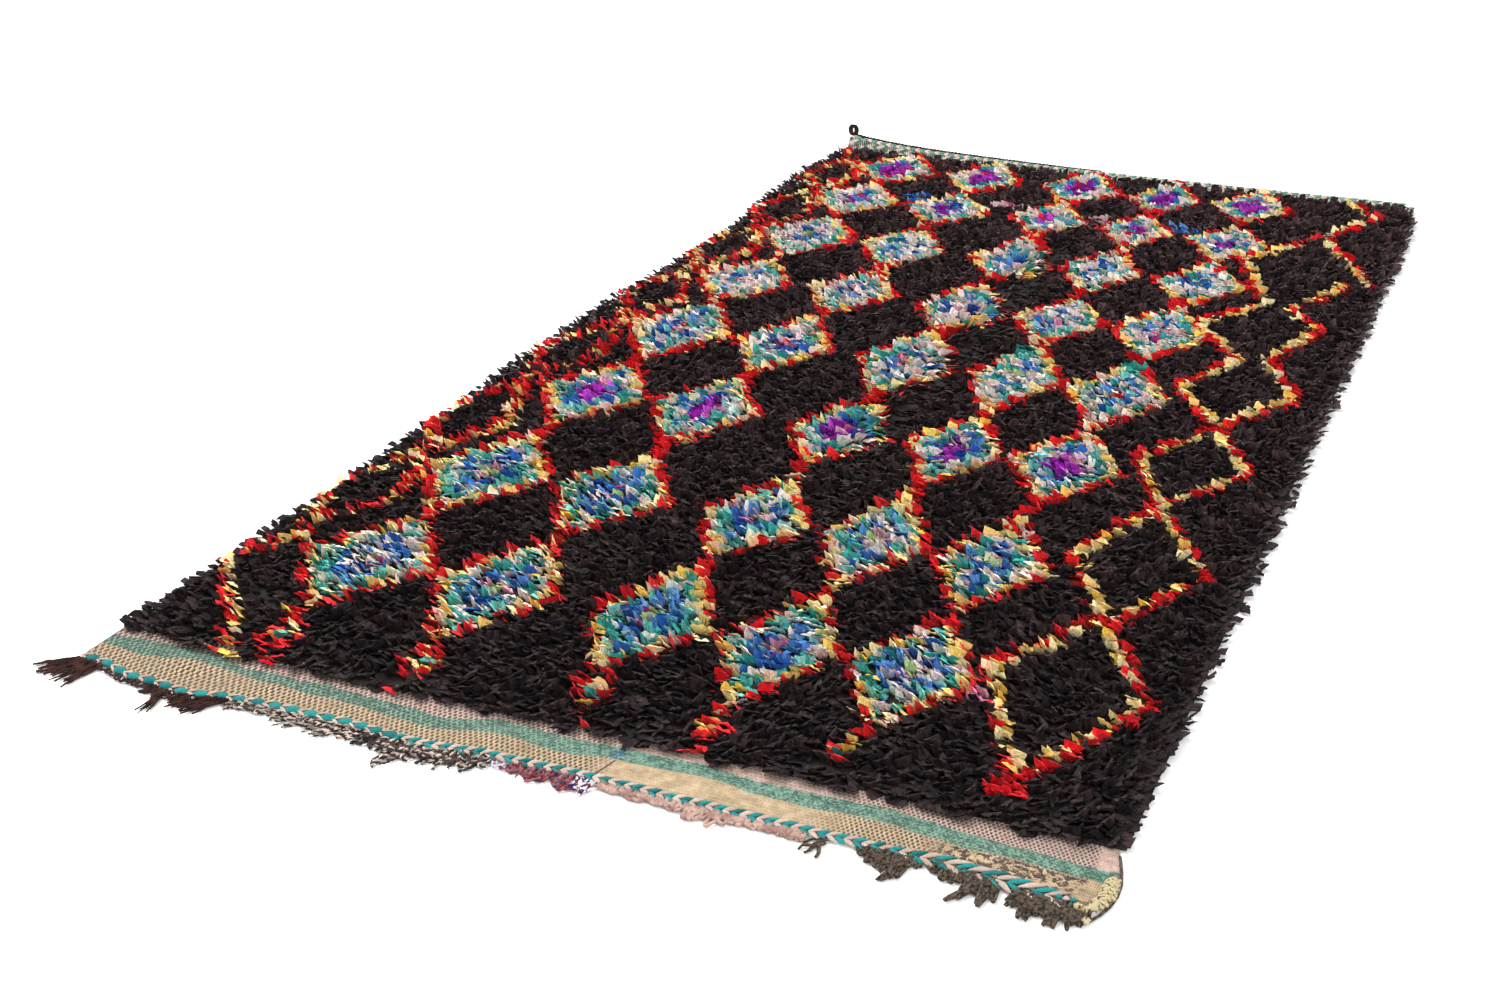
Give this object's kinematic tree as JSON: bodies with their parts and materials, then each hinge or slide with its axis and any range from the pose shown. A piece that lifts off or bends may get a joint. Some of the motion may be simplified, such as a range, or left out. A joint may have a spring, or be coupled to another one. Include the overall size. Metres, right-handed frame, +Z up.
{
  "type": "boucherouite rug",
  "caption": "Long hand-knotted rag-pile rug lying flat: black shag with bright nested diamonds, striped woven ends, twined cords and a short yarn fringe.",
  "frame": {"origin": "centre of the rug's bounding box in plan, at the level of the floor it lies on", "axes": "+X across the rug, +Y along it from the fringed near end to the far end, +Z up out of the pile"},
  "size_m": [1.4265, 2.9402, 0.0679],
  "materials": {
    "woven_wool": "matt flat weave in pink, green and cream bands",
    "rag_pile": "soft crumpled rag strips, charcoal with bright tufts",
    "twined_cord": "two-colour yarn, turquoise and pale pink",
    "cream_yarn": "matt cream wool",
    "brown_yarn": "matt dark brown wool",
    "mottled_yarn": "matt grey and cream marled wool",
    "mixed_yarn": "matt red, blue and white yarn ends",
    "pink_yarn": "fluffy pale pink wool",
    "drab_yarn": "felted grey-brown wool"
  },
  "bodies": {
    "root": {"ground_weave": "woven_wool", "pile": "rag_pile", "near_twine": "twined_cord", "corner_wrap": "cream_yarn", "fringe_brown": "brown_yarn", "fringe_mottled": "mottled_yarn", "fringe_multi": "mixed_yarn", "fringe_pink": "pink_yarn", "fringe_drab": "drab_yarn", "far_twine": "twined_cord", "far_cord": "brown_yarn"}
  },
  "joints": []
}
